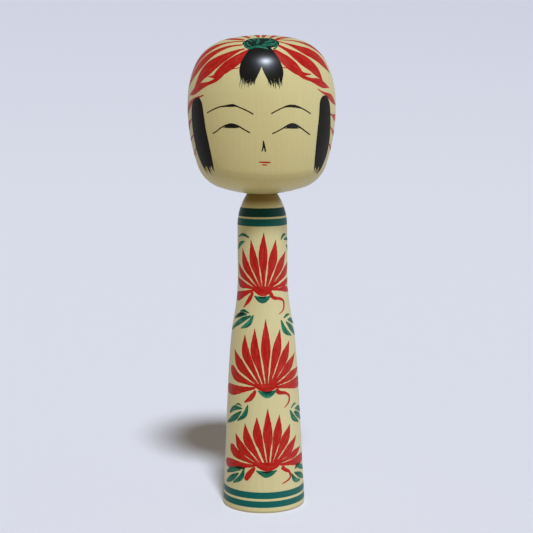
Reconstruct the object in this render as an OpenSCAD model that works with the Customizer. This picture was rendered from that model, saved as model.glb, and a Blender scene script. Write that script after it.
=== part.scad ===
// Kokeshi doll: a turned wooden head that plugs onto a turned wooden body.
// The body carries its own peg, which stands in a blind hole under the head, so the head
// turns stiffly on the neck and pulls off upwards.
// Millimetres, +Z up. The origin is the middle of the face the doll stands on, and the
// painted face looks along -Y.

/* [Whole doll] */
// Height from the standing face to the crown
doll_h = 243.2; // [232:0.1:252]

/* [Head] */
// Widest measure across the head
head_w = 75.2; // [70:0.1:80]
// Height of the head, from its seat on the neck to the crown
head_h = 79.8; // [76:0.1:85]
// Width of the flat seat under the head
seat_w = 17.2; // [16.4:0.1:18]

/* [Body] */
// Width of the flat top of the neck
neck_w = 15.4; // [14:0.1:16.6]
// Width of the straight column below the shoulder
column_w = 25.6; // [24:0.1:27]
// Length of the straight column
column_l = 23.8; // [18:0.1:28]
// Radius of the rounded shoulder
shoulder_r = 31; // [28:0.5:38]
// Width across the foot
foot_w = 42.8; // [40:0.1:46]
// Rounding of the lower edge of the foot
rim_r = 1.4; // [0.8:0.1:2]

/* [Peg and hole] */
// Thickness of the peg on the neck
peg_w = 11; // [9:0.1:12]
// Length of the peg
peg_l = 22; // [14:0.5:28]
// Clearance all round the peg in its hole
peg_gap = 0.04; // [0.02:0.01:0.08]
// Depth of the hole past the end of the peg
hole_spare = 2; // [1:0.5:4]
// Bevel on the end of the peg and on the mouth of the hole
lead_in = 0.8; // [0.4:0.1:1.2]
// Open seam between the neck and the head
seam = 0.1; // [0.05:0.05:0.3]

/* [Underside] */
// Width of the shallow hollow turned under the foot
hollow_w = 29; // [24:0.5:32]
// Depth of that hollow at its middle
hollow_d = 0.8; // [0.4:0.1:1.2]

/* [Hidden] */
$fn = 160;
wood_pale = [0.87, 0.81, 0.62];
wood_head = [0.89, 0.83, 0.66];

neck_z = doll_h - head_h - seam;
seat_z = doll_h - head_h;
column_r = column_w / 2;
foot_r = foot_w / 2;
peg_r = peg_w / 2;
hole_r = peg_r + peg_gap;

// An outline is followed as a turner's gouge goes, in steps of [radius, degrees turned].
// A heading of 0 runs straight outwards and 90 runs straight down. A turn above 0 makes a
// swelling curve, and one below 0 makes a hollow curve.
finest_turn = 1.5;
least_steps = 8;

function arc(start, heading, radius, turn) =
    let (steps = max(least_steps, ceil(abs(turn) / finest_turn)))
    [for (i = [1:steps])
        let (a = heading + turn * i / steps)
        start + sign(turn) * radius * [sin(a) - sin(heading), cos(a) - cos(heading)]];

function last(list) = list[len(list) - 1];

function arcs(start, heading, list, i = 0) =
    i == len(list) ? [] :
    let (points = arc(start, heading, list[i][0], list[i][1]))
    concat(points, arcs(last(points), heading + list[i][1], list, i + 1));

// Head outline, from the crown outwards and down to the flat seat.
head_arcs = [
    [80, 12.7],    // low dome of the crown
    [23.1, 53.1],  // round shoulder of the crown
    [44.5, 21],    // temple
    [93.5, 21.7],  // cheek
    [17.4, 53.8],  // jaw
    [89.9, 8.6]    // underside
];
head_drawn = arcs([0, 0], 0, head_arcs);
drawn_r = max([for (p = head_drawn) p[0]]);
drawn_h = -last(head_drawn)[1];

// The drawn arcs are stretched to the wanted width and height of the head.
head_outline = [for (p = head_drawn)
    [p[0] * head_w / 2 / drawn_r, doll_h + p[1] * head_h / drawn_h]];

// Body outline: shoulder, straight column, hollow flare, swell and foot.
shoulder_turn = acos(1 - (column_r - neck_w / 2) / shoulder_r);
shoulder = arc([neck_w / 2, neck_z], 90 - shoulder_turn, shoulder_r, shoulder_turn);
column_end = last(shoulder) - [0, column_l];
skirt_arcs = [
    [126, -11.8],  // hollow flare
    [50, 5.8],     // swell under it
    [515, 3.3]     // long easy curve of the skirt
];
skirt_drawn = arcs(column_end, 90, skirt_arcs);
foot_lean = 2.7;
foot_drawn_r = last(skirt_drawn)[0] + last(skirt_drawn)[1] * tan(foot_lean);
widen = (foot_r - column_r) / (foot_drawn_r - column_r);
skirt = [for (p = skirt_drawn) [column_r + (p[0] - column_r) * widen, p[1]]];
rim = arc([foot_r, rim_r], 90, rim_r, 90);

// Body with its own peg, turned from one billet.
module body() {
    color(wood_pale)
        rotate_extrude()
            polygon(concat(
                [[0, neck_z + peg_l], [peg_r - lead_in, neck_z + peg_l]],
                [[peg_r, neck_z + peg_l - lead_in], [peg_r, neck_z]],
                [[neck_w / 2, neck_z]],
                shoulder,
                [column_end],
                skirt,
                [[foot_r, rim_r]],
                rim,
                [[hollow_w / 2, 0], [0, hollow_d]]
            ));
}

// Head with the blind hole for the peg.
module head() {
    color(wood_head)
        difference() {
            rotate_extrude()
                polygon(concat(
                    [[0, doll_h]],
                    head_outline,
                    [[seat_w / 2, seat_z], [0, seat_z]]
                ));
            translate([0, 0, seat_z - lead_in])
                cylinder(r = hole_r, h = peg_l + hole_spare + lead_in);
            translate([0, 0, seat_z - lead_in])
                cylinder(r1 = hole_r + 2 * lead_in, r2 = hole_r, h = 2 * lead_in);
        }
}

body();
head();
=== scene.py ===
# %% [markdown]
# # A kokeshi doll, from two turned pieces and some two hundred brush strokes
#
# A kokeshi is turned on a lathe from pale dogwood. The head plugs onto a peg on the body, the maker
# paints both pieces with a soft brush, and wax gives the finished doll its sheen. This lesson
# follows the same order: turn the wood, paint it, then light it.
#
# The first cell loads the measured model. It gives the sizes of the two turned pieces, and the
# names of the bodies that each new piece has to move with.

# %% Load the frame
import bisect
import math
import random

import bmesh
import bpy
from mathutils import Euler, Matrix, Vector


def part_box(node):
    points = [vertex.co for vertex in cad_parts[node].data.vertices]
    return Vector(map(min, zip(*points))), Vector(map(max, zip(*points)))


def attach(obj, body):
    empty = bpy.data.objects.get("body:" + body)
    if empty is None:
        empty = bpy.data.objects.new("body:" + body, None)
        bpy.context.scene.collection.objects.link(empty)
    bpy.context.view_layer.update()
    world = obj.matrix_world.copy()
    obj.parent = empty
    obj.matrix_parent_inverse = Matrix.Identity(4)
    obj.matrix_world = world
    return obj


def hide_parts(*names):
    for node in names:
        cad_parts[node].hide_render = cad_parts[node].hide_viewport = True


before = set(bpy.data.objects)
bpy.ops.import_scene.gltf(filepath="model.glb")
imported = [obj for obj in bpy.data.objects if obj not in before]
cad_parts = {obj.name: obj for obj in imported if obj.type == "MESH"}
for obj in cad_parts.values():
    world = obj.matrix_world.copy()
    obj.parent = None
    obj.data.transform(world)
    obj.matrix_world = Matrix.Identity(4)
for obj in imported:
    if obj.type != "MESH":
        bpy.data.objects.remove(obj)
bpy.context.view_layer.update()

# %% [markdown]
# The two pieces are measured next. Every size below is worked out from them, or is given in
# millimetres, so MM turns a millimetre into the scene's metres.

MM = 0.001
head_low, head_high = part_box("head")
body_low, body_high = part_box("body")

# %% [markdown]
# ## Reading the turner's outline
#
# Everything turned on a lathe is one outline carried round an axis. The measured model is a mesh of
# loose triangles, but all its corners stand on that outline. So the outline can be read back.
# Each corner becomes a radius and a height, and a walk from the pole to the nearest corner that is
# left, again and again, puts them in order. Typing the outline in a second time would also work,
# but then two files could disagree.

# %% Outlines of the two turned pieces
CLOSEST = 0.02 * MM


def turned_outline(node, pole_height):
    corners = {}
    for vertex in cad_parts[node].data.vertices:
        radius = math.hypot(vertex.co.x, vertex.co.y)
        corners[round(radius, 5), round(vertex.co.z, 5)] = Vector((radius, vertex.co.z))
    left = list(corners.values())
    walk = [Vector((0, pole_height))]
    while left:
        nearest = min(left, key=lambda corner: (corner - walk[-1]).length)
        left.remove(nearest)
        if (nearest - walk[-1]).length > CLOSEST:
            walk.append(nearest)
    if walk[-1].x > CLOSEST:
        walk.append(Vector((0, walk[-1].y)))
    return walk


HOLLOW = 0.8 * MM
body_outline = turned_outline("body", body_low.z + HOLLOW)
head_outline = turned_outline("head", head_high.z)
print(f"body outline {len(body_outline)} corners, head outline {len(head_outline)} corners")

# %% [markdown]
# ## Where the wood's surface is
#
# Paint has to lie on the wood, so the script needs to know where the wood's surface is.
# On the body that is a radius at each height. On the head a height isn't enough, because the flat
# crown runs over the top, so there it is a reach from a point inside the head, at each angle above
# or below the level of the temples. Both are read from the outlines.
#
# A skin answers two questions. `at` gives the point for a place that the painter would name, and
# `lay` presses any point onto the wood, with a film's lift above it.

# %% The skin of the body and the skin of the head
neck_height = head_low.z
temple_level = Vector((0, 0, head_low.z + 41.6 * MM))


def reader(places, values):
    """Reads a value between the places where it is known."""
    def read(place):
        i = min(max(bisect.bisect(places, place), 1), len(places) - 1)
        share = (place - places[i - 1]) / (places[i] - places[i - 1])
        return values[i - 1] + share * (values[i] - values[i - 1])
    return read


class BodySkin:
    """Places are millimetres round from the front, and millimetres up from the foot."""

    def __init__(self):
        outside = [c for c in body_outline if c.y < neck_height - 0.05 * MM]
        foot_edge = max(range(len(outside)), key=lambda i: outside[i].x)
        side = outside[foot_edge:]
        self.radius = reader([c.y for c in side], [c.x for c in side])

    def at(self, around, up):
        radius = self.radius(up * MM)
        turn = around * MM / radius
        return Vector((radius * math.sin(turn), -radius * math.cos(turn), up * MM))

    def out(self, point):
        return Vector((point.x, point.y, 0)).normalized()

    def lay(self, point, lift):
        return self.out(point) * (self.radius(point.z) + lift) + Vector((0, 0, point.z))


class HeadSkin:
    """Places are degrees round from the front, and degrees up from the level of the temples."""

    def __init__(self):
        mouth = next(i for i, c in enumerate(head_outline) if c.y < neck_height + CLOSEST)
        rays = [c - temple_level.xz for c in head_outline[:mouth + 1]]
        rises = [math.atan2(ray.y, ray.x) for ray in reversed(rays)]
        self.reach = reader(rises, [ray.length for ray in reversed(rays)])
        crown = [(ray.x, math.atan2(ray.y, ray.x)) for ray in rays if ray.y > 20 * MM]
        self.crown_rise = reader([x for x, rise in crown], [rise for x, rise in crown])

    def at(self, turn, rise):
        turn, rise = math.radians(turn), math.radians(rise)
        across = math.cos(rise)
        ray = Vector((across * math.sin(turn), -across * math.cos(turn), math.sin(rise)))
        return temple_level + ray * self.reach(rise)

    def from_above(self, right, back):
        """The point of the crown that is this many millimetres right of the axis and behind it."""
        rise = self.crown_rise(math.hypot(right, back) * MM)
        return self.at(math.degrees(math.atan2(right, -back)), math.degrees(rise))

    def out(self, point):
        return (point - temple_level).normalized()

    def lay(self, point, lift):
        ray = self.out(point)
        rise = math.atan2(ray.z, math.hypot(ray.x, ray.y))
        return temple_level + ray * (self.reach(rise) + lift)


body_skin = BodySkin()
head_skin = HeadSkin()
print(f"body radius at mid height {body_skin.radius(neck_height / 2) / MM:.1f} mm,",
      f"head reach at the temples {head_skin.reach(0) / MM:.1f} mm")

# %% [markdown]
# ## Small helpers for finishes
#
# A finish is a small network of shader nodes. One function turns a colour as a painter would mix
# it on a screen into the linear light that the renderer adds up. Another adds any node, sets its
# values and links its inputs, so that each finish below reads as a list of what it does.

# %% Finish helpers
def linear(colour):
    channels = [int(colour[i:i + 2], 16) / 255 for i in (1, 3, 5)]
    return (*[c / 12.92 if c <= 0.04045 else ((c + 0.055) / 1.055) ** 2.4 for c in channels], 1.0)


def add_node(finish, kind, inputs=None, **settings):
    node = finish.node_tree.nodes.new(kind)
    for name, value in settings.items():
        setattr(node, name, value)
    for name, value in (inputs or {}).items():
        if isinstance(value, bpy.types.NodeSocket):
            finish.node_tree.links.new(value, node.inputs[name])
        else:
            node.inputs[name].default_value = value
    return node


def mixed(finish, share, first, second, blend="MIX"):
    """Mixes two colours by a share from 0 to 1, and returns the colour."""
    node = add_node(finish, "ShaderNodeMix", data_type="RGBA", blend_type=blend)
    for socket, value in ((node.inputs[0], share), (node.inputs[6], first), (node.inputs[7], second)):
        if isinstance(value, bpy.types.NodeSocket):
            finish.node_tree.links.new(value, socket)
        else:
            socket.default_value = value
    return node.outputs[2]


def stretched(finish, place, sizes, shift=(0, 0, 0)):
    """Makes a pattern's cells as long as the sizes, in metres, along the three directions."""
    scale = [1 / size for size in sizes]
    return add_node(finish, "ShaderNodeMapping", {"Vector": place, "Scale": scale, "Location": shift})


def cloudy(finish, place, sizes, low=0.35, high=0.65, detail=3.0, shift=(0, 0, 0)):
    """Soft noise with cells of the given sizes, spread so that it runs from 0 to 1."""
    cells = stretched(finish, place, sizes, shift).outputs["Vector"]
    noise = add_node(finish, "ShaderNodeTexNoise", {"Vector": cells, "Scale": 1.0, "Detail": detail})
    spread = add_node(finish, "ShaderNodeMapRange", {
        "Value": noise.outputs["Fac"], "From Min": low, "From Max": high})
    return spread.outputs["Result"]


def scaled(finish, value, factor):
    return add_node(finish, "ShaderNodeMath", {0: value, 1: factor}, operation="MULTIPLY").outputs[0]


def empty_finish(name):
    finish = bpy.data.materials.new(name)
    finish.use_nodes = True
    finish.node_tree.nodes.clear()
    return finish


def close_finish(finish, colour, **inputs):
    """Ends a finish with its shader. Names are the shader's own inputs, with _ for a space."""
    sockets = {name.replace("_", " "): value for name, value in inputs.items()}
    shader = add_node(finish, "ShaderNodeBsdfPrincipled", {"Base Color": colour, **sockets})
    add_node(finish, "ShaderNodeOutputMaterial", {"Surface": shader.outputs["BSDF"]})
    return finish


# %% [markdown]
# ## The wood
#
# Mizuki, a dogwood, is almost white and nearly without grain, so it takes thin dye like paper.
# Up close it still shows faint growth rings from the log, whose heart lay outside the doll, fine
# fibres and broader streaks that run up the doll, and hair-fine lines left by the turning tool.
# Old wax has warmed it to a pale straw colour and gives a soft sheen. Just under the head the neck
# is painted darker and browner: painted shade, where the head shades the neck.

# %% Waxed dogwood
RING_PITCH = 2.6 * MM
NECK_PAINTED_SHADE = "#8A703B"
WAVE_LENGTH = math.pi / 10      # of the wave texture, at a scale of one


def waxed_dogwood(name, pale, straw, heart, painted_shade_band=None):
    finish = empty_finish(name)
    place = add_node(finish, "ShaderNodeTexCoord").outputs["Object"]
    from_heart = add_node(finish, "ShaderNodeMapping", {"Vector": place, "Location": heart})
    rings = add_node(finish, "ShaderNodeTexWave", {
        "Vector": from_heart.outputs["Vector"], "Scale": WAVE_LENGTH / RING_PITCH,
        "Distortion": 3.0, "Detail": 2.0, "Detail Scale": 0.6}, wave_type="RINGS", rings_direction="Z")
    fibres = cloudy(finish, place, (0.5 * MM, 0.5 * MM, 14 * MM), detail=4.0)
    tool_lines = cloudy(finish, place, (60 * MM, 60 * MM, 0.3 * MM), detail=2.0)
    warmth = cloudy(finish, place, (30 * MM, 30 * MM, 55 * MM), detail=1.0)
    ringed = mixed(finish, scaled(finish, rings.outputs["Fac"], 0.05), linear(pale), linear(straw))
    streaks = cloudy(finish, place, (1.6 * MM, 1.6 * MM, 18 * MM), detail=4.0, shift=(5.2, 1.3, 0))
    fibred = mixed(finish, scaled(finish, fibres, 0.08), ringed, linear(straw))
    fibred = mixed(finish, scaled(finish, streaks, 0.09), fibred, linear(straw))
    fibred = mixed(finish, scaled(finish, tool_lines, 0.06), fibred, linear(straw))
    warmed = mixed(finish, scaled(finish, warmth, 0.18), fibred, linear(straw))
    # Painted shade: between these heights the neck is mixed towards a dark brown, for the head's shadow.
    if painted_shade_band:
        height = add_node(finish, "ShaderNodeSeparateXYZ", {"Vector": place}).outputs["Z"]
        head_shadow_share = add_node(finish, "ShaderNodeMapRange", {
            "Value": height, "From Min": painted_shade_band[0], "From Max": painted_shade_band[1]}).outputs["Result"]
        warmed = mixed(finish, head_shadow_share, warmed, linear(NECK_PAINTED_SHADE))
    relief = add_node(finish, "ShaderNodeBump", {
        "Height": tool_lines, "Strength": 0.08, "Distance": 0.02 * MM})
    gloss = add_node(finish, "ShaderNodeMapRange", {
        "Value": fibres, "To Min": 0.34, "To Max": 0.42}).outputs["Result"]
    return close_finish(finish, warmed, Roughness=gloss, IOR=1.45, Specular_IOR_Level=0.5,
                        Normal=relief.outputs["Normal"])


# The two heights at the end bound the band of painted shade just under the head.
body_wood = waxed_dogwood("waxed dogwood, body", "#DBD19D", "#C3B06E", (38 * MM, -31 * MM, 0),
                          (neck_height - 6.5 * MM, neck_height - 3 * MM))
head_wood = waxed_dogwood("waxed dogwood, head", "#D9CE94", "#C2AE68", (-52 * MM, 27 * MM, 0))

# %% [markdown]
# ## The dyes and the ink
#
# Kokeshi are painted with water dyes and with sumi ink, not with thick paint. Both soak into the
# wood and are then waxed over. A loaded brush leaves fine streaks along the stroke, where the wood
# shows through a little more. Each stroke therefore carries its own measures, along and
# across, and the streaks follow them.
#
# The red and the green give a soft sheen. Where green crosses red the colour is nearly black. Wet ink
# dries to a dark, closed skin that shines, and a dry brush leaves it matt.

# %% Brushed dyes
def brushed(name, full, thin, streakiness, roughness, shine=0.24):
    finish = empty_finish(name)
    stroke = add_node(finish, "ShaderNodeUVMap", uv_map="stroke").outputs["UV"]
    hairs = cloudy(finish, stroke, (9 * MM, 0.4 * MM, 1), low=0.4, high=0.75, detail=3.0)
    pools = cloudy(finish, stroke, (4 * MM, 1.6 * MM, 1), detail=2.0, shift=(3.1, 1.7, 0))
    streaks = add_node(finish, "ShaderNodeMath", {0: hairs, 1: pools}, operation="MULTIPLY").outputs[0]
    colour = mixed(finish, scaled(finish, streaks, streakiness), linear(full), linear(thin))
    return close_finish(finish, colour, Roughness=roughness, IOR=1.45, Specular_IOR_Level=shine)


red_dye = brushed("aniline red dye", "#B0110B", "#DA5440", 0.7, 0.42)
green_dye = brushed("deep green dye", "#07563F", "#5CB999", 0.9, 0.42)
leaf_shade = brushed("green dye over red dye", "#0C241C", "#143A2E", 0.5, 0.4)
ink = brushed("sumi ink", "#12110D", "#1F1C16", 0.6, 0.27, 0.36)
dry_ink = brushed("sumi ink from a dry brush", "#12110E", "#26231D", 0.6, 0.5, 0.14)

# %% [markdown]
# The green rings are different. The body spins on the lathe while a loaded brush is held still
# against it, so their streaks run all the way round. The topmost ring is darker: painted shade.

# %% Dye laid on the spinning lathe
def spun_dye(name, full, thin):
    finish = empty_finish(name)
    place = add_node(finish, "ShaderNodeTexCoord").outputs["Object"]
    lines = cloudy(finish, place, (90 * MM, 90 * MM, 0.35 * MM), detail=2.0)
    colour = mixed(finish, scaled(finish, lines, 0.5), linear(full), linear(thin))
    return close_finish(finish, colour, Roughness=0.42, IOR=1.45, Specular_IOR_Level=0.24)


ring_dye = spun_dye("deep green dye, spun on", "#045853", "#126E66")
# Painted shade: a darker copy of the ring dye, for the ring in the head's shadow.
shaded_ring_dye = spun_dye("deep green dye, painted shade under the head", "#033A35", "#0C4C46")
print(f"{len(bpy.data.materials)} finishes")

# %% [markdown]
# ## Turning
#
# An outline spun once round the axis closes into a solid, just as the lathe would cut it. The
# corners that meet at the poles are merged, and the faces are turned to point outwards.

# %% Spin an outline into a piece
TURNS = 256
SHARP = math.radians(40)


def spun(outline, closed=False):
    shape = bmesh.new()
    corners = [shape.verts.new((c.x, 0, c.y)) for c in outline]
    for one, other in zip(corners, corners[1:] + corners[:1] if closed else corners[1:]):
        shape.edges.new((one, other))
    bmesh.ops.spin(shape, geom=shape.verts[:] + shape.edges[:], cent=(0, 0, 0), axis=(0, 0, 1),
                   angle=math.tau, steps=TURNS, use_merge=True)
    bmesh.ops.remove_doubles(shape, verts=shape.verts[:], dist=0.002 * MM)
    return shape


def finish_piece(shape, name, finish, body=None):
    """Turns a shape into a piece with its finish, and lets it ride on a body of the frame."""
    bmesh.ops.recalc_face_normals(shape, faces=shape.faces[:])
    mesh = bpy.data.meshes.new(name)
    shape.to_mesh(mesh)
    shape.free()
    mesh.shade_smooth()
    mesh.set_sharp_from_angle(angle=SHARP)
    mesh.materials.append(finish)
    piece = bpy.data.objects.new(name, mesh)
    bpy.context.scene.collection.objects.link(piece)
    if body:
        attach(piece, body)
    print(f"{name}: {len(mesh.polygons)} faces")
    return piece


body_turned = finish_piece(spun(body_outline), "body_turned", body_wood, "body")
head_turned = finish_piece(spun(head_outline), "head_turned", head_wood, "head")
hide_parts("body")
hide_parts("head")

# %% [markdown]
# ## The green rings
#
# Two rings close the painting at the neck and two at the foot. A ring is a thin film of dye. Its
# outer face follows the wood a few hundredths of a millimetre above it. Its inner face lies just
# inside the wood, so that it is a closed solid like every other piece.

# %% Rings of dye
FILM_TOP = 0.03 * MM      # of a film's outer face above the wood
FILM_ROOT = -0.05 * MM    # of its inner face, under the wood
LAYER = 0.006 * MM        # the height of one layer of paint over another


def ring_outline(low, high, steps=12):
    heights = [(low + (high - low) * i / steps) * MM for i in range(steps + 1)]
    outer = [Vector((body_skin.radius(z) + FILM_TOP, z)) for z in heights]
    inner = [Vector((body_skin.radius(z) + FILM_ROOT, z)) for z in heights]
    return outer + inner[::-1]


def rings(name, heights, dye):
    shape = bmesh.new()
    for low, high in heights:
        ring = spun(ring_outline(low, high), closed=True)
        part = bpy.data.meshes.new("ring")
        ring.to_mesh(part)
        ring.free()
        shape.from_mesh(part)
        bpy.data.meshes.remove(part)
    return finish_piece(shape, name, dye, "body")


rings("neck_ring_upper", [(152.05, 156.4)], shaded_ring_dye)
rings("neck_ring_lower", [(147.4, 151.05)], ring_dye)
rings("foot_rings", [(3.0, 6.3), (7.6, 11.0)], ring_dye)

# %% [markdown]
# ## One brush stroke
#
# Every other mark on the doll is a brush stroke. A stroke is a path over the wood, with the
# brush's width at each point of it. A soft brush swells as it is pressed and comes to a point as it
# is lifted, so the widths tell most of the story.
#
# A flat grid is laid along the path: one way follows the path, the other way goes across. Each
# corner is pressed onto the wood, then the whole sheet is extruded outward into a film. Both ends
# are rounded off, and the edges waver a little, as a hand does. The stroke's own measures are
# kept in a UV map, for the streaks.

# %% A curve through the painter's points
POINTED = 0.12       # the width of a lifted brush's last trace, in millimetres
CURVE_STEPS = 12     # between two of the painter's points


def smooth_path(knots, rows):
    """Rows on a smooth curve through the knots, closer together near its ends."""
    padded = [2 * knots[0] - knots[1], *knots, 2 * knots[-1] - knots[-2]]
    fine = []
    for a, b, c, d in zip(padded, padded[1:], padded[2:], padded[3:]):
        for step in range(CURVE_STEPS):
            t = step / CURVE_STEPS
            fine.append((2 * b + (c - a) * t + (2 * a - 5 * b + 4 * c - d) * t ** 2
                         + (3 * b - a - 3 * c + d) * t ** 3) / 2)
    fine.append(knots[-1])
    gone = [0.0]
    for one, other in zip(fine, fine[1:]):
        gone.append(gone[-1] + (other - one).xyz.length)
    path = []
    for row in range(rows + 1):
        share = (1 - math.cos(math.pi * row / rows)) / 2
        there = (0.5 * share + 0.5 * row / rows) * gone[-1]
        i = min(max(bisect.bisect(gone, there), 1), len(gone) - 1)
        part = (there - gone[i - 1]) / max(gone[i] - gone[i - 1], 1e-9)
        path.append((fine[i - 1].lerp(fine[i], part), there))
    return path, gone[-1]


# %% [markdown]
# The stroke itself is a sheet of rows along the path and lanes across it. The two edges swing
# with slow waves of their own, which keeps them from looking ruled. Strokes painted later lie a
# hair higher, so two films never share a surface.

# %% Lay the stroke on the wood
hand = random.Random(7)
STACK = 0.25         # of a layer, between one stroke and the next


def brush(shape, skin, knots, layer=0.0, rows=28, lanes=4, waver=0.05):
    path, length = smooth_path(knots, rows)
    sheet = bmesh.ops.create_grid(shape, x_segments=rows, y_segments=lanes, size=0.5)["verts"]
    measures = shape.loops.layers.uv.get("stroke") or shape.loops.layers.uv.new("stroke")
    spots = {vertex: (round((vertex.co.x + 0.5) * rows), round((vertex.co.y + 0.5) * lanes))
             for vertex in sheet}
    phases = [hand.uniform(0, math.tau) for _ in range(4)]
    start = hand.uniform(0, 500) * MM
    across = []
    for row, (knot, gone) in enumerate(path):
        ahead = path[min(row + 1, rows)][0].xyz - path[max(row - 1, 0)][0].xyz
        side = ahead.cross(skin.out(knot.xyz)).normalized()
        half = max(knot.w, POINTED * MM) / 2
        near_end = min(gone, length - gone)
        if near_end < half:
            half *= max(math.sqrt(1 - (1 - near_end / half) ** 2), 0.05)
        swing = [waver * MM * (math.sin(gone / MM * 1.9 + phases[i])
                               + math.sin(gone / MM * 4.3 + phases[i + 2])) / 2 for i in (0, 1)]
        swing = [s * min(1, half / (0.8 * MM)) for s in swing]
        across.append((knot.xyz, side, -half + swing[0], half + swing[1]))

    def press(vertex, lift):
        row, lane = spots[vertex]
        middle, side, left, right = across[row]
        vertex.co = skin.lay(middle + side * (left + (right - left) * lane / lanes), lift)

    faces = list({face for vertex in sheet for face in vertex.link_faces})
    for vertex in sheet:
        press(vertex, FILM_TOP + layer * LAYER)
    for face in faces:
        for loop in face.loops:
            row, lane = spots[loop.vert]
            middle, side, left, right = across[row]
            loop[measures].uv = (start + path[row][1], start + left + (right - left) * lane / lanes)
    film = bmesh.ops.extrude_face_region(shape, geom=faces)["geom"]
    roots = [part for part in film if isinstance(part, bmesh.types.BMVert)]
    for vertex in roots:
        vertex.co = skin.lay(vertex.co, FILM_ROOT)


def on_body(*path):
    return [Vector((*body_skin.at(around, up), width * MM)) for around, up, width in path]


def on_head(*path):
    return [Vector((*head_skin.at(turn, rise), width * MM)) for turn, rise, width in path]


def on_crown(*path):
    return [Vector((*head_skin.from_above(right, back), width * MM)) for right, back, width in path]


def painted(name, finish, body, skin, strokes, base=0, **how):
    """Lays several strokes of one colour, each a little above the one before."""
    shape = bmesh.new()
    for i, knots in enumerate(strokes):
        brush(shape, skin, knots, layer=base + i * STACK, **how)
    return finish_piece(shape, name, finish, body)

# %% [markdown]
# ## Three chrysanthemums
#
# The body carries three chrysanthemums one above another, seen from the side. Each has eleven
# petals that fan out from a red heart. A petal is one stroke: the brush touches down at the tip,
# swells, and thins out towards the heart. A green cup holds the heart, one short stroke
# falls to the left of it, and a long stroke curls away to the right.
#
# A petal is written as its tip, its widest place, that width, and its root, in millimetres round
# and up.

# %% Petals, hearts and stems in red
def between(one, other, share):
    return [a + (b - a) * share for a, b in zip(one, other)]


ROOT_WIDTH = 1.1


def petal(tip, belly, width, root, full=False):
    """A full petal keeps its width nearly to the tip, as the lowest ones do."""
    near_tip = [(*between(tip, belly, 0.3), width * 0.86)] if full else []
    narrowing = (*between(belly, root, 0.55), width * 0.52)
    return on_body((*tip, POINTED), *near_tip, (*belly, width), narrowing, (*root, ROOT_WIDTH))


def heart(left, right, top, bottom):
    """A flat-topped drop that gathers the petals' roots."""
    middle, deep = (left + right) / 2, top - bottom
    end_height, end_width = top - deep * 0.16, deep * 0.3
    flank_height, flank_width = top - deep * 0.38, deep * 0.76
    return on_body((left, end_height, end_width), ((left + middle) / 2, flank_height, flank_width),
                   (middle, top - deep * 0.5, deep), ((right + middle) / 2, flank_height, flank_width),
                   (right, end_height, end_width))


upper_petals = [
    petal((21, 119.8), (15, 118), 3.2, (4.5, 115.6)), petal((20.5, 112.6), (15, 114.4), 3.2, (5, 115.2)),
    petal((-19.5, 110.6), (-15, 111), 4.8, (-4.5, 114.9), True),
    petal((-18, 120.5), (-13.5, 117.7), 4.2, (-4, 115.6)),
    petal((20, 128.4), (15.5, 124.5), 4.6, (3.8, 116.2)),
    petal((-15.8, 128), (-13, 123.5), 3.8, (-3.2, 116.2)),
    petal((15, 134.2), (10.7, 128), 4.7, (3.2, 116.3)), petal((-11.7, 136), (-9.6, 128), 4.3, (-2, 116.4)),
    petal((7.2, 140.7), (5.7, 131), 4.8, (2, 116.4)), petal((-6.1, 140.8), (-4.6, 130), 4.5, (-0.8, 116.4)),
    petal((0.7, 144.5), (0.3, 133), 4.7, (0.5, 116)),
    heart(-5.2, 5.4, 116.9, 111.8),
    on_body((-5, 113.8, 1.4), (-7.5, 109.5, 2.2), (-11, 105.5, 0.4)),
    on_body((3.8, 113.8, 2.0), (5.5, 111, 1.9), (9, 110.2, 1.5), (11.8, 109, 1.3), (12.5, 106.5, 1.2),
            (11.5, 104, 0.8), (8.8, 102.3, 0.3)),
]
middle_petals = [
    petal((28, 73), (18, 70.6), 4.4, (5.5, 66.2)), petal((29.5, 65.8), (21, 65.5), 5.6, (6.5, 65.4), True),
    petal((-27, 62.6), (-18, 62.7), 5.5, (-4, 65.2), True),
    petal((-21, 74.8), (-15.8, 70.2), 5.0, (-3.5, 66.2), True),
    petal((21.4, 81.2), (15.3, 75.7), 4.8, (4.6, 66.6)),
    petal((-17.5, 83.8), (-13.5, 77), 5.3, (-2.4, 66.6)),
    petal((15.6, 88.3), (12.2, 81), 5.1, (4, 66.8)), petal((-9.8, 92.2), (-9.4, 83), 4.7, (-1.2, 66.8)),
    petal((9.2, 95), (7.4, 85), 4.9, (3, 66.8)), petal((-4.2, 95.8), (-4.2, 84), 4.7, (0.4, 66.8)),
    petal((1.4, 100.5), (1.4, 86), 4.9, (1.8, 66.6)),
    heart(-4.8, 8, 67.4, 63),
    on_body((-3.8, 64, 1.4), (-6.5, 60, 2.6), (-10.4, 57.2, 0.5)),
    on_body((6.5, 64.5, 2.4), (8.5, 62.5, 2.2), (11.5, 62, 1.6), (14.3, 60.5, 1.3), (14.9, 58, 1.1),
            (13.5, 55.8, 0.8), (11.2, 54.2, 0.3)),
]
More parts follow.
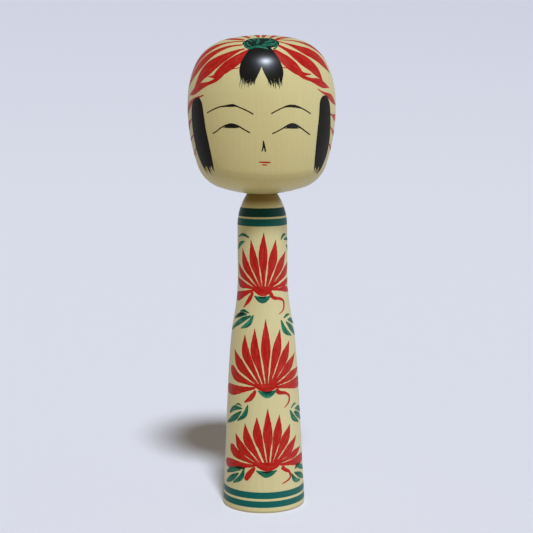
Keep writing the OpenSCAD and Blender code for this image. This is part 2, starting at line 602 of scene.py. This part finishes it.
lower_petals = [
    petal((25.5, 31.6), (19, 29.4), 3.8, (7.5, 25.9)), petal((31, 25.6), (22, 25), 5.0, (8.5, 25), True),
    petal((-27, 23.6), (-18, 24), 5.0, (-4, 24.9), True),
    petal((-20.6, 34), (-16.2, 30.2), 4.8, (-4, 25.7), True),
    petal((20.4, 38.6), (15, 32.7), 4.7, (6.3, 26)), petal((-16.2, 40.6), (-12.8, 34.2), 4.8, (-2.4, 26)),
    petal((15.2, 45.3), (12.2, 38.5), 5.0, (5.2, 26.1)), petal((-10, 46.5), (-8.5, 38), 5.0, (-1, 26.1)),
    petal((8.5, 51.3), (7.5, 41.5), 4.8, (4, 26.1)), petal((-3.4, 50.2), (-3.2, 41), 4.8, (1, 26.1)),
    petal((2.2, 54.8), (2.2, 42), 5.0, (2.4, 26)),
    heart(-4.8, 9.2, 26.7, 21.9),
    on_body((-4.5, 24, 1.6), (-7.5, 20.5, 3.0), (-9.9, 16.9, 2.6)),
    on_body((9.5, 23.7, 2.4), (11.8, 22, 2.0), (14, 20.8, 1.6), (15, 19, 1.3), (14.8, 17.2, 1.1),
            (12.5, 15.8, 0.8), (9.5, 14.8, 0.3)),
]
painted("upper_chrysanthemum", red_dye, "body", body_skin, upper_petals, waver=0.1)
painted("middle_chrysanthemum", red_dye, "body", body_skin, middle_petals, waver=0.1)
painted("lower_chrysanthemum", red_dye, "body", body_skin, lower_petals, waver=0.1)

# %% [markdown]
# The cups and the leaves are painted last, in green. Where a green stroke crosses wet red, the two
# dyes soak into the same wood and turn nearly black, so those crossings are strokes of their own.

# %% Green cups
def cup(left, right, top, bottom):
    middle, deep = (left + right) / 2, top - bottom
    flank_height, flank_width = top - deep * 0.36, deep * 0.62
    return on_body((left, top, 0.3), ((left + middle) / 2, flank_height, flank_width),
                   (middle, top - deep * 0.55, deep * 0.9),
                   ((right + middle) / 2, flank_height, flank_width), (right, top, 0.3))


def cup_shade(left, right, top):
    middle = (left + right) / 2
    return on_body((left + 2, top - 0.3, 0.2), (middle, top - 0.9, 1.0), (right - 2, top - 0.3, 0.2))


cups = [(-4.4, 4.2, 112, 108.2), (-2.8, 7, 63.9, 60), (-4, 7, 22.4, 18.7)]
painted("flower_cups", green_dye, "body", body_skin, [cup(*edges) for edges in cups], base=6)
painted("cup_shades", leaf_shade, "body", body_skin, [cup_shade(*edges[:3]) for edges in cups], base=8,
        rows=14, lanes=2)

# %% [markdown]
# Sprays of three or four leaves fill the gaps beside the flowers. A leaf is one short stroke that
# starts at the stem, swells and comes to a point.

# %% Leaves
leaves = [
    on_body((-7, 141.6, 0.7), (-11, 142.9, 1.5), (-16, 141.5, 0.4)),
    on_body((-10, 139.6, 0.6), (-14, 137.8, 2.2), (-17, 134.8, 1.2)),
    on_body((10.5, 140.2, 0.4), (12.3, 142.3, 1.6), (15, 142.7, 0.8)),
    on_body((13, 140.1, 0.4), (16, 140.3, 1.8), (20, 139.2, 0.8)),
    on_body((15.5, 137, 0.5), (20, 135, 2.4), (23, 133, 0.8)),
    on_body((-7.2, 103, 0.4), (-10.5, 104, 1.4), (-13.5, 103.4, 0.5)),
    on_body((-8.5, 102.3, 0.8), (-13, 101.8, 2.4), (-19, 99.3, 1.0)),
    on_body((-6, 101.8, 0.8), (-13, 98.5, 2.8), (-23, 92.8, 0.9)),
    on_body((-4.8, 102.3, 0.5), (-7.5, 97.8, 2.6), (-12.5, 95, 0.6)),
    on_body((11.8, 100, 0.4), (14.5, 101.2, 1.3), (17.5, 101.3, 0.5)),
    on_body((15, 98.8, 0.6), (19, 98, 2.6), (24, 95.8, 0.9)),
    on_body((13.5, 98, 0.8), (18.5, 94, 3.4), (25, 89.5, 1.0)),
    on_body((10, 99.3, 0.6), (12.5, 93.8, 3.0), (18, 90.4, 0.7)),
    on_body((-11.8, 55.3, 0.3), (-14, 56, 0.9), (-16, 55.4, 0.3)),
    on_body((-11.5, 54, 0.6), (-17, 53.5, 2.6), (-22, 50, 0.9)),
    on_body((-12, 52.5, 0.8), (-17, 48.5, 3.2), (-25, 44.3, 1.0)),
    on_body((-8.2, 56.2, 0.6), (-10, 51, 2.6), (-14.8, 47.2, 0.7)),
    on_body((16, 53.3, 0.3), (18.5, 54.8, 1.1), (20.5, 55, 0.4)),
    on_body((19.5, 52.4, 0.7), (24, 51.8, 2.8), (29, 49, 1.0)),
    on_body((18.5, 51, 0.8), (23, 48.5, 3.2), (30, 44.6, 1.0)),
    on_body((15.3, 52.5, 0.6), (18, 48, 2.8), (23.5, 44.7, 0.7)),
    on_body((-12.5, 22.2, 1.0), (-19, 21, 3.0), (-24.5, 18.5, 1.0)),
    on_body((-14, 20, 0.8), (-19, 16.5, 3.3), (-25, 13.3, 1.0)),
    on_body((-10.5, 22.8, 0.8), (-12.5, 18, 2.8), (-18, 14.2, 0.7)),
    on_body((18.5, 21.2, 0.6), (22, 22.2, 1.8), (25, 21, 0.6)),
    on_body((21, 21.5, 0.8), (26, 20.5, 2.8), (30.5, 18.5, 1.0)),
    on_body((18, 19.3, 0.8), (24, 16.5, 3.2), (31, 13.5, 1.0)),
    on_body((15.5, 19.5, 0.6), (18.5, 15.5, 2.6), (23.5, 14, 0.7)),
]
crossings = [
    on_body((-10, 102.6, 0.8), (-13.5, 101.9, 1.9), (-17.5, 100.2, 0.7)),
    on_body((-10, 23.0, 0.5), (-13.5, 22.9, 1.5), (-16.5, 22.6, 0.5)),
    on_body((18.8, 22.0, 0.5), (21.5, 23.0, 1.1), (24.5, 22.6, 0.5)),
]
painted("leaves", green_dye, "body", body_skin, leaves, base=7, rows=22)
painted("leaf_crossings", leaf_shade, "body", body_skin, crossings, base=16, rows=14, lanes=2)

# %% [markdown]
# ## The face
#
# The face is drawn with the finest brush and with very little: two brows, two eyes, a nose and a
# mouth. Each brow swells where the brush turns. An eye is a long lid with a dark pupil
# hanging from it, and a thin line that closes it below.

# %% Brows, eyes, nose and mouth
brows = [
    on_head((-45.5, -0.3, 0.5), (-40, 1.9, 0.55), (-34, 4, 0.6), (-29, 4.8, 0.75), (-25.5, 5.1, 1.15),
            (-22, 5.4, 1.4), (-20, 5.2, 1.0), (-17.5, 4.4, 0.6), (-13, 2.6, 0.6), (-9.5, 0.9, 0.6),
            (-5.9, -1.1, 0.6)),
    on_head((6.9, -0.7, 0.6), (11, 1.4, 0.55), (16, 3.7, 0.6), (20, 4.7, 1.1), (23.5, 4.7, 1.4),
            (27, 4.2, 1.2), (31, 3.0, 0.65), (35, 1.2, 0.6), (39.6, -1.2, 0.6)),
]
eyes = [
    on_head((-41, -15.4, 0.5), (-37.5, -14.1, 0.55), (-33, -11.4, 0.55), (-29.5, -9.7, 0.6),
            (-26, -8.8, 0.9), (-23.5, -8.4, 1.0), (-20, -8.9, 0.9), (-16.5, -10.3, 0.7),
            (-12.5, -12.6, 0.6), (-8.6, -14.6, 0.6)),
    on_head((-30.5, -10.6, 0.2), (-27, -10.8, 0.4), (-23, -10.8, 0.5), (-18.5, -10.6, 0.4),
            (-16, -10.2, 0.2)),
    on_head((-28.8, -10.1, 0.8), (-26, -9.8, 1.7), (-23, -9.6, 2.0), (-20, -9.8, 1.8), (-17, -10.2, 0.9)),
    on_head((7.7, -15.4, 0.55), (11, -14, 0.55), (15.5, -11.7, 0.6), (18, -10.3, 0.65), (21, -8.9, 0.9),
            (23.5, -8.5, 1.0), (26.5, -9.1, 0.9), (30, -10.9, 0.75), (35, -13.9, 0.65), (40.2, -16.8, 0.6)),
    on_head((15.8, -11.4, 0.25), (19, -11.3, 0.4), (24, -11.5, 0.45), (29, -11.4, 0.4), (31, -11, 0.25)),
    on_head((18.9, -11, 0.9), (21, -10.2, 2.0), (23.6, -9.9, 2.4), (26, -10.2, 2.0), (28.2, -11, 0.9)),
]
nose = [
    on_head((1.3, -20.1, 0.4), (1.4, -22.5, 0.95), (1, -25, 0.75), (0, -27.9, 0.6)),
    on_head((1.6, -22, 0.6), (2.2, -25, 0.8), (2.9, -28.2, 0.75)),
]
mouth = [
    on_head((-2.9, -35.1, 0.25), (-0.5, -35.2, 0.65), (2.5, -35.3, 0.7), (5, -35.4, 0.75),
            (7.3, -35.4, 0.5)),
    on_head((-0.2, -36.9, 0.3), (2.4, -37.1, 0.6), (4.6, -37, 0.3)),
]
fine_brush = {"lanes": 2, "waver": 0.02}
painted("brows", ink, "head", head_skin, brows, rows=44, **fine_brush)
painted("eyes", ink, "head", head_skin, eyes, rows=44, **fine_brush)
painted("nose", ink, "head", head_skin, nose, rows=16, **fine_brush)
painted("mouth", red_dye, "head", head_skin, mouth, rows=16, **fine_brush)

# %% [markdown]
# ## Hair
#
# The fringe is two rounded locks that part above the brow, and a straight lock hangs on each side
# of the face. The brush's hairs split, so a lock is laid as many narrow strands side by side. Each
# strand runs between the lock's two edges, overlaps its neighbours, and ends in its own point a
# little sooner or later than they do. Below the fringe the nearly dry brush leaves fine wisps, at
# uneven places and lengths, with none where the two locks part.

# %% Locks of hair
def strands_between(left, right, count, seed, ragged, spread=1.9, taper=(1.0, 0.75)):
    """Strands that fill the space between two edges. Ragged is how far their ends differ, in degrees."""
    chance = random.Random(seed)
    strands = []
    for strand in range(count):
        share = (strand + 0.5) / count
        path = []
        longer = chance.uniform(-ragged, ragged * 0.6)
        for row, (one, other) in enumerate(zip(left, right)):
            turn = one[0] + (other[0] - one[0]) * share
            rise = one[1] + (other[1] - one[1]) * share
            gap = (head_skin.at(*other) - head_skin.at(*one)).length / MM
            width = gap / count * spread
            path.append([turn, rise, width])
        before, last = path[-2], path[-1]
        step = longer / max(abs(last[1] - before[1]), 0.1)
        last[0] += (last[0] - before[0]) * step
        last[1] -= longer
        last[2] = POINTED
        before[2] *= chance.uniform(*sorted(taper))
        strands.append(on_head(*path))
    return strands


# The numbers after the two edges are the count of strands, their seed and how ragged they end.
fringe = strands_between(
    [(-10.5, 48.5), (-14.3, 41.5), (-16.8, 36), (-17.5, 31), (-17, 27.5), (-15.6, 21.4)],
    [(-0.4, 50), (0.1, 42), (0.2, 38), (0, 34), (-1.9, 29), (-6.2, 19.6)], 18, 3, 2.8, spread=1.7)
fringe += strands_between(
    [(0.2, 50), (0, 42), (0.1, 38), (0.3, 34), (2.1, 29), (6.4, 19.8)],
    [(8.9, 48.5), (13.2, 41.5), (15.6, 36.5), (17.0, 31.5), (17.1, 27.5), (15.4, 20.6)],
    18, 5, 2.8, spread=1.7)
side_locks = strands_between(
    [(-61, 10.3), (-66.3, 6), (-67.8, -3), (-68, -12), (-67.8, -22), (-66.6, -33), (-61.5, -43)],
    [(-55.5, 11.4), (-51.5, 6.5), (-49.4, -3), (-48.4, -12), (-47, -22), (-46.3, -33), (-46.8, -43)],
    16, 11, 4.2)
side_locks += strands_between(
    [(54, 12), (50, 7.5), (49, -3), (48.4, -12), (48.6, -22), (50.2, -33), (53, -43)],
    [(58.5, 12), (63.2, 6), (65.2, -4), (67, -13), (69, -23), (69.4, -33), (65, -43.5)], 16, 13, 3.4)
WISP_PLACES, FIRST_WISP, PARTING, PARTING_HALF = 64, -16, 0.2, 4
wisps = []
for place in range(WISP_PLACES):
    turn = FIRST_WISP + place / 2
    aside = abs(turn - PARTING)
    if aside > PARTING_HALF and hand.random() < 0.6:
        top = 29 - 0.28 * aside
        end = 22 - 0.12 * aside - hand.uniform(0, 4.0)
        lean = math.copysign(hand.uniform(-0.4, 1.0), turn)
        wisps.append(on_head((turn, top, 0.3), (turn + lean * 0.4, (top + end) / 2, 0.26),
                             (turn + lean, end, 0.05)))
painted("fringe", ink, "head", head_skin, fringe, base=6, rows=24, lanes=2, waver=0.04)
painted("fringe_wisps", dry_ink, "head", head_skin, wisps, base=5, rows=12, lanes=1, waver=0.0)
painted("side_locks", dry_ink, "head", head_skin, side_locks, base=6, rows=30, lanes=2, waver=0.04)

# %% [markdown]
# ## The red ribbons of the crown
#
# Long red strokes spread from the knot over the crown like the spokes of a wheel. They are
# the doll's festive hair ribbons. The ones at the front fall in two tiers over the temples. Each
# starts narrow under the knot, swells where the head curves over, and ends in a point. Two red
# hairlines run out from the sides of the fringe.

# %% Crown strokes at the front and sides
left_ribbons = [
    on_head((-21, 56.3, 0.9), (-35, 56.3, 1.2), (-48, 54.2, 2.0), (-58, 51, 4.2), (-67, 46.5, 6.2),
            (-76, 39.5, 7.6), (-85, 30, 6.2), (-93, 20, 0.4)),
    on_head((-20.5, 51.5, 1.1), (-30, 51, 1.4), (-38, 49.4, 2.2), (-45, 46.9, 3.2), (-52, 43.4, 4.4),
            (-59, 38.6, 5.6), (-66, 32.8, 5.6), (-73, 26.8, 4.8), (-79, 21.5, 3.0), (-84, 17.5, 0.4)),
    on_head((-16, 47.3, 0.9), (-21, 46.2, 1.6), (-27, 43.6, 3.2), (-34, 40.3, 5.0), (-42, 36.2, 6.8),
            (-49, 32, 7.8), (-54.5, 27.8, 6.6), (-58.6, 22.8, 4.2), (-62, 18.6, 2.2), (-66, 15.5, 0.4)),
    on_head((-10.5, 46, 2.8), (-16, 41.8, 4.4), (-22, 37.6, 5.9), (-28, 33.8, 6.2), (-34, 29.8, 5.2),
            (-38.5, 26.8, 3.4), (-42, 25.9, 1.2), (-47, 26, 0.3)),
    on_head((-31, 27.6, 1.2), (-37, 24, 2.2), (-42, 22, 1.8), (-47, 20.6, 2.0), (-53, 19.2, 3.4),
            (-58, 17.6, 3.9), (-64, 15.2, 3.2), (-73, 12.6, 0.3)),
]
right_ribbons = [
    on_head((18.5, 59, 1.0), (35, 58.5, 1.1), (50, 57, 1.8), (62, 54, 3.6), (74, 49.5, 5.8), (85, 43, 6.5),
            (93, 36, 4.0), (99, 28, 0.4)),
    on_head((19.5, 56.7, 1.0), (30, 53, 1.5), (38, 49.5, 3.7), (46, 46, 6.1), (54, 43.5, 7.4),
            (62, 39.5, 7.2), (68, 35, 5.6), (73, 30.5, 2.2), (75.5, 28.5, 0.3)),
    on_head((17.5, 51.4, 1.5), (25, 46.8, 2.5), (32, 42, 5.2), (39, 37.5, 6.8), (46, 33, 6.3),
            (51, 28.5, 5.0), (54.5, 24, 1.8), (56.2, 21, 0.3)),
    on_head((10.5, 46, 3.0), (17, 41, 4.6), (22, 36.8, 6.0), (27, 32.5, 5.8), (31, 29.3, 4.2),
            (35, 27.5, 2.0), (43.5, 27.2, 0.3)),
    on_head((28.5, 28.6, 1.2), (34.5, 25.3, 1.8), (42, 23.3, 2.0), (49, 21.8, 3.7), (55, 20, 3.7),
            (60, 18.8, 2.0), (65, 17.4, 0.3)),
]
hairlines = [on_head((-16.5, 32.2, 0.3), (-20, 31.8, 0.45), (-24, 31.2, 0.3)),
             on_head((16, 32.2, 0.3), (20, 31.8, 0.45), (24, 31.2, 0.3))]
painted("left_crown_ribbons", red_dye, "head", head_skin, left_ribbons, rows=48, lanes=8)
painted("right_crown_ribbons", red_dye, "head", head_skin, right_ribbons, rows=48, lanes=8)
painted("hairlines", red_dye, "head", head_skin, hairlines, rows=12, lanes=2)

# %% [markdown]
# Six strokes run from the knot over the flat top and down behind. Seven shorter ones hang between
# and beside them as a second tier, and leave the lower back of the head bare.

# %% Crown strokes at the back
back_ribbons = [
    on_crown((-8, -20, 1.1), (-13.5, -13.5, 2.9), (-17, -6, 3.2), (-19.5, 3, 4.2), (-21.5, 12, 5.2))
    + on_head((239, 44, 5.8), (237, 34, 4.8), (235, 20, 0.4)),
    on_crown((-5.6, -18, 1.3), (-8, -10, 2.5), (-10, -2, 2.7), (-11.8, 8, 3.4), (-13.4, 17, 4.8))
    + on_head((216, 44, 6.0), (214.5, 33, 5.0), (213, 17, 0.4)),
    on_crown((-1.3, -17, 1.4), (-2.2, -8, 2.6), (-3.2, 2, 2.7), (-4, 12, 3.6), (-4.6, 21, 5.0))
    + on_head((191.5, 44, 6.2), (191, 33, 5.0), (190.5, 19, 0.4)),
    on_crown((0.9, -17, 1.3), (1.7, -8, 2.5), (2.9, 2, 2.6), (3.6, 12, 3.6), (4.2, 21, 5.0))
    + on_head((168.5, 44, 6.2), (168.5, 33, 5.0), (169, 17, 0.4)),
    on_crown((4.4, -18, 1.3), (6.9, -8.5, 2.5), (9.2, 1, 2.7), (11.2, 10, 3.4), (12.9, 18, 4.8))
    + on_head((145.5, 44, 6.0), (146, 33, 5.0), (147.5, 19, 0.4)),
    on_crown((7, -19.7, 1.1), (11.5, -12, 2.9), (15.5, -4, 3.2), (18.8, 5, 4.2), (21, 13, 5.2))
    + on_head((122, 44, 5.8), (123.5, 34, 4.8), (125, 20, 0.4)),
]
second_tier = ((112, 12), (134, 10), (157, 11), (180, 9), (203, 11), (226, 10), (250, 12))
back_ribbons += [
    on_head((turn, 49, 0.6), (turn, 42, 3.0), (turn, 32, 5.4), (turn, 22, 4.6), (turn, end, 0.4))
    for turn, end in second_tier]
painted("back_crown_ribbons", red_dye, "head", head_skin, back_ribbons, rows=56, lanes=6)

# %% [markdown]
# Short red strokes peep out behind each side lock, one above another. They are the ends of the
# ribbons that are tied behind the ears.

# %% Strokes behind the side locks
left_temple = [
    on_head((-49, 12.7, 0.5), (-55, 11.5, 0.8), (-62, 10.2, 1.0), (-66, 8.5, 1.7), (-72, 5.5, 3.3),
            (-79, 2, 3.6), (-87, -0.8, 2.4), (-95, -2.6, 0.3)),
    on_head((-64, -5, 0.4), (-71, -6, 0.9), (-76, -8.5, 2.4), (-82, -11, 3.6), (-92, -13, 2.8),
            (-103, -13.6, 0.3)),
    on_head((-64, -17.2, 0.4), (-71, -18, 0.9), (-78, -20.3, 1.5), (-86, -21.5, 1.7), (-95, -22, 1.4),
            (-104, -22.2, 0.3)),
    on_head((-65, -26.2, 0.4), (-71, -28, 0.8), (-77, -31, 1.2), (-85, -32.3, 1.3), (-94, -33, 1.1),
            (-102, -33.4, 0.3)),
]
right_temple = [
    on_head((47.5, 17, 0.4), (53, 14.5, 0.9), (60, 12.5, 2.0), (66, 10.5, 3.6), (72, 8, 3.0), (78, 6, 1.4),
            (84, 5.3, 0.3)),
    on_head((63, -1.3, 0.5), (70, -3, 1.2), (76, -4.5, 3.0), (83, -5, 3.4), (93, -5, 2.4), (103, -4.6, 0.3)),
    on_head((65, -11.3, 0.4), (70, -12.8, 0.8), (76, -15.5, 2.0), (84, -17, 2.4), (93, -17, 1.8),
            (103, -16.8, 0.3)),
    on_head((66, -23.2, 0.4), (72, -25, 1.0), (79, -27.5, 1.6), (86, -28.8, 1.7), (95, -29, 1.2),
            (103, -29, 0.3)),
]
painted("left_temple_strokes", red_dye, "head", head_skin, left_temple, rows=36)
painted("right_temple_strokes", red_dye, "head", head_skin, right_temple, rows=36)

# %% [markdown]
# ## The knot
#
# The knot on the crown is a dab of very dark green, worked over with lighter strokes that curl
# out from its middle like the petals of a small flower.

# %% Crown knot
knot_base = [on_crown((-9.1, -23.9, 0.5), (-8.4, -23.8, 5.4), (-6.5, -23.7, 9.2), (-3, -23.5, 10.3),
                      (0, -23.4, 10.8), (4, -23.6, 10.9), (6.8, -24, 8.5), (8.2, -24.3, 4.6),
                      (8.7, -24.4, 0.5))]
painted("knot_base", leaf_shade, "head", head_skin, knot_base, base=8, rows=40, lanes=16, waver=0.2)
knot_strokes = [
    on_crown((-1.3, -18.3, 0.8), (-1.5, -21, 1.3), (-1.5, -23.5, 1.5), (-2.2, -25.5, 0.6)),
    on_crown((-3.9, -18.2, 0.7), (-3.4, -20, 1.3), (-3, -22.3, 0.5)),
    on_crown((-6.4, -19.8, 0.5), (-5.8, -21, 1.2), (-4.6, -22.8, 0.7)),
    on_crown((-7.9, -21.8, 0.6), (-8.2, -23.8, 0.9), (-7.6, -26, 1.0), (-6, -27.7, 0.6)),
    on_crown((-6.8, -22.5, 0.4), (-6.6, -24.5, 0.9), (-5.2, -26.4, 0.7)),
    on_crown((-6.6, -27.8, 0.8), (-3.5, -27.1, 1.5), (0, -27.2, 1.9), (3, -27.9, 1.5), (4.6, -28.6, 0.5)),
    on_crown((0.3, -25.8, 1.0), (2.5, -25.6, 1.8), (5, -25.2, 2.2), (7, -24.3, 1.0)),
    on_crown((1.5, -24.6, 0.4), (3, -23.4, 1.3), (5, -22.3, 1.2), (6.6, -21.2, 0.5)),
    on_crown((7.6, -23.2, 0.5), (7.7, -25, 0.9), (6.9, -27, 0.9), (5.6, -28, 0.4)),
    on_crown((6.4, -21, 0.5), (7, -22.3, 0.7), (6.8, -24, 0.4)),
    on_crown((0.2, -18.6, 0.6), (1.3, -18.9, 1.3), (2.2, -20, 0.6)),
    on_crown((4.2, -19.5, 0.4), (4.6, -20.8, 0.7), (3.7, -22, 0.3)),
]
painted("knot_strokes", green_dye, "head", head_skin, knot_strokes, base=12, rows=20, waver=0.12)

# %% [markdown]
# ## Stage, light and camera
#
# The doll stands on a wide, pale floor that rises slowly far away, so that there is no corner and
# no horizon. One broad lamp, high and in front and a little to the right, works like a large
# window. The room's own soft glow fills the shadows, and it isn't even. It is strong from below,
# where it stands in for light that the floor would bounce, and from the right and behind at low
# heights, as from pale walls. So the floor itself is hidden from bounced light and reflections.
# The camera looks slightly down, from near the height of the doll's head.

# %% Stage, light and camera
FLAT = 1.5          # metres from the doll to where the floor starts to rise
RIM = 12.0          # and to its edge
FLOOR_RISE = 0.022
FLOOR_RINGS = 40
# The paper is painted darker away from the doll: painted light falloff, which the lamp doesn't give.
PAINTED_FALLOFF_END = 7.0    # metres to where the paper has darkened fully


def floor_height(far):
    return FLOOR_RISE * max(far - FLAT, 0) ** 2


floor_reach = [0, 0.4, FLAT]
floor_reach += [FLAT + (RIM - FLAT) * (i / FLOOR_RINGS) for i in range(1, FLOOR_RINGS + 1)]
floor_outline = [Vector((far, floor_height(far) - 0.05 * MM)) for far in floor_reach]
paper = empty_finish("matt grey-white paper")
from_doll = add_node(paper, "ShaderNodeVectorMath", {
    0: add_node(paper, "ShaderNodeTexCoord").outputs["Object"]}, operation="LENGTH").outputs["Value"]
# Painted light falloff: the paper's colour darkens from where the floor starts to rise to the fade distance.
painted_falloff = add_node(paper, "ShaderNodeMapRange", {
    "Value": from_doll, "From Min": FLAT, "From Max": PAINTED_FALLOFF_END}).outputs["Result"]
paper_colour = mixed(paper, painted_falloff, linear("#E8E7E8"), linear("#D6D6D9"))
close_finish(paper, paper_colour, Roughness=0.95, IOR=1.3, Specular_IOR_Level=0.1)
floor = finish_piece(spun(floor_outline), "floor", paper)
floor.visible_diffuse = False
floor.visible_glossy = False

LAMP_RISE, LAMP_SIDE, LAMP_SPREAD = math.radians(57), math.radians(11.5), math.radians(9)
to_lamp = Vector((math.sin(LAMP_SIDE) * math.cos(LAMP_RISE), -math.cos(LAMP_SIDE) * math.cos(LAMP_RISE),
                  math.sin(LAMP_RISE)))
lamp_data = bpy.data.lights.new("window_light", "SUN")
lamp_data.energy = 3.2
lamp_data.color = (0.774, 0.839, 1.0)
lamp_data.angle = LAMP_SPREAD
lamp = bpy.data.objects.new("window_light", lamp_data)
lamp.rotation_euler = to_lamp.to_track_quat("Z", "Y").to_euler()
bpy.context.scene.collection.objects.link(lamp)

ROOM_GLOW = ((0.0, (1.05, 1.03, 0.98)), (0.32, (0.55, 0.51, 0.43)), (0.47, (0.26, 0.22, 0.16)),
             (0.56, (0.14, 0.12, 0.09)), (1.0, (0.15, 0.14, 0.12)))
LEFT_GLOW = (0.22, 0.18, 0.13)
RIGHT_GLOW = (1.0, 1.02, 1.05)
BACK_GLOW = (0.72, 0.73, 0.77)
room = bpy.data.worlds.new("pale_room")
room.use_nodes = True
towards = add_node(room, "ShaderNodeSeparateXYZ", {
    "Vector": add_node(room, "ShaderNodeTexCoord").outputs["Generated"]})


def facing(axis, faint, full):
    """How far a direction points along an axis, from 0 where it is faint to 1 where it is full."""
    return add_node(room, "ShaderNodeMapRange", {
        "Value": towards.outputs[axis], "From Min": faint, "From Max": full}).outputs["Result"]


def both(one, other):
    return add_node(room, "ShaderNodeMath", {0: one, 1: other}, operation="MULTIPLY").outputs[0]


glow = add_node(room, "ShaderNodeValToRGB", {"Fac": facing("Z", -1.0, 1.0)})
for i, (height, colour) in enumerate(ROOM_GLOW):
    stop = glow.color_ramp.elements[i] if i < 2 else glow.color_ramp.elements.new(height)
    stop.position = height
    stop.color = (*colour, 1)
low = facing("Z", 0.5, 0.1)
glow_left = both(facing("X", 0.0, -0.8), facing("Z", -0.5, -0.1))
glow = mixed(room, glow_left, glow.outputs["Color"], (*LEFT_GLOW, 1))
glow = mixed(room, both(facing("X", 0.4, 0.95), low), glow, (*RIGHT_GLOW, 1))
glow = mixed(room, both(facing("Y", -0.05, 0.6), low), glow, (*BACK_GLOW, 1))
room.node_tree.links.new(glow, room.node_tree.nodes["Background"].inputs["Color"])
bpy.context.scene.world = room
bpy.context.scene.view_settings.view_transform = "Standard"

camera_data = bpy.data.cameras.new("camera")
camera_data.lens = 88.46
camera_data.sensor_width = 36
camera = bpy.data.objects.new("camera", camera_data)
aim = Euler((math.radians(90 - 7.870), 0, math.radians(-0.175))).to_matrix()
roll = Matrix.Rotation(math.radians(-0.31), 3, "Z")
camera.rotation_euler = (aim @ roll).to_euler()
camera.location = (0, -0.6709, 0.218)
bpy.context.scene.collection.objects.link(camera)
bpy.context.scene.camera = camera
